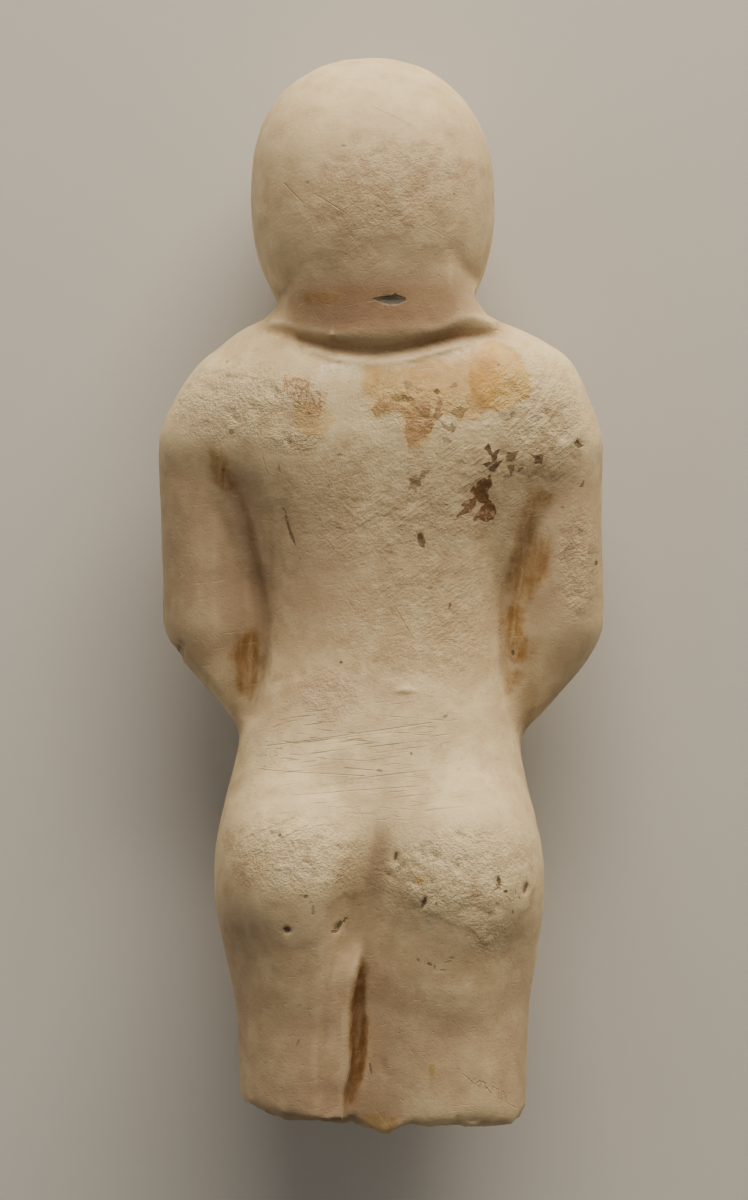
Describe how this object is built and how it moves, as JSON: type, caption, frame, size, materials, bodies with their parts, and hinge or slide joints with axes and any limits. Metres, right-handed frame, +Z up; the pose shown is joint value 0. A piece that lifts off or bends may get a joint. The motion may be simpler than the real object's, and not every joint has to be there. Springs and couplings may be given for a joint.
{
  "type": "offering bearer statuette",
  "caption": "Carved stone figure broken off at the thighs: smooth capped head, bent arms joined to the body, hands on a low bowl. Lies on its front.",
  "frame": {"origin": "on the surface that the figure lies on, under the middle of its bounding box", "axes": "+Y from the broken thighs to the crown of the head, +Z up, which is the figure's back, +X to the viewer's right with the back in view"},
  "size_m": [0.0842, 0.1992, 0.0512],
  "materials": {
    "limestone": "matte"
  },
  "bodies": {
    "root": {"statuette": "limestone"}
  },
  "joints": []
}
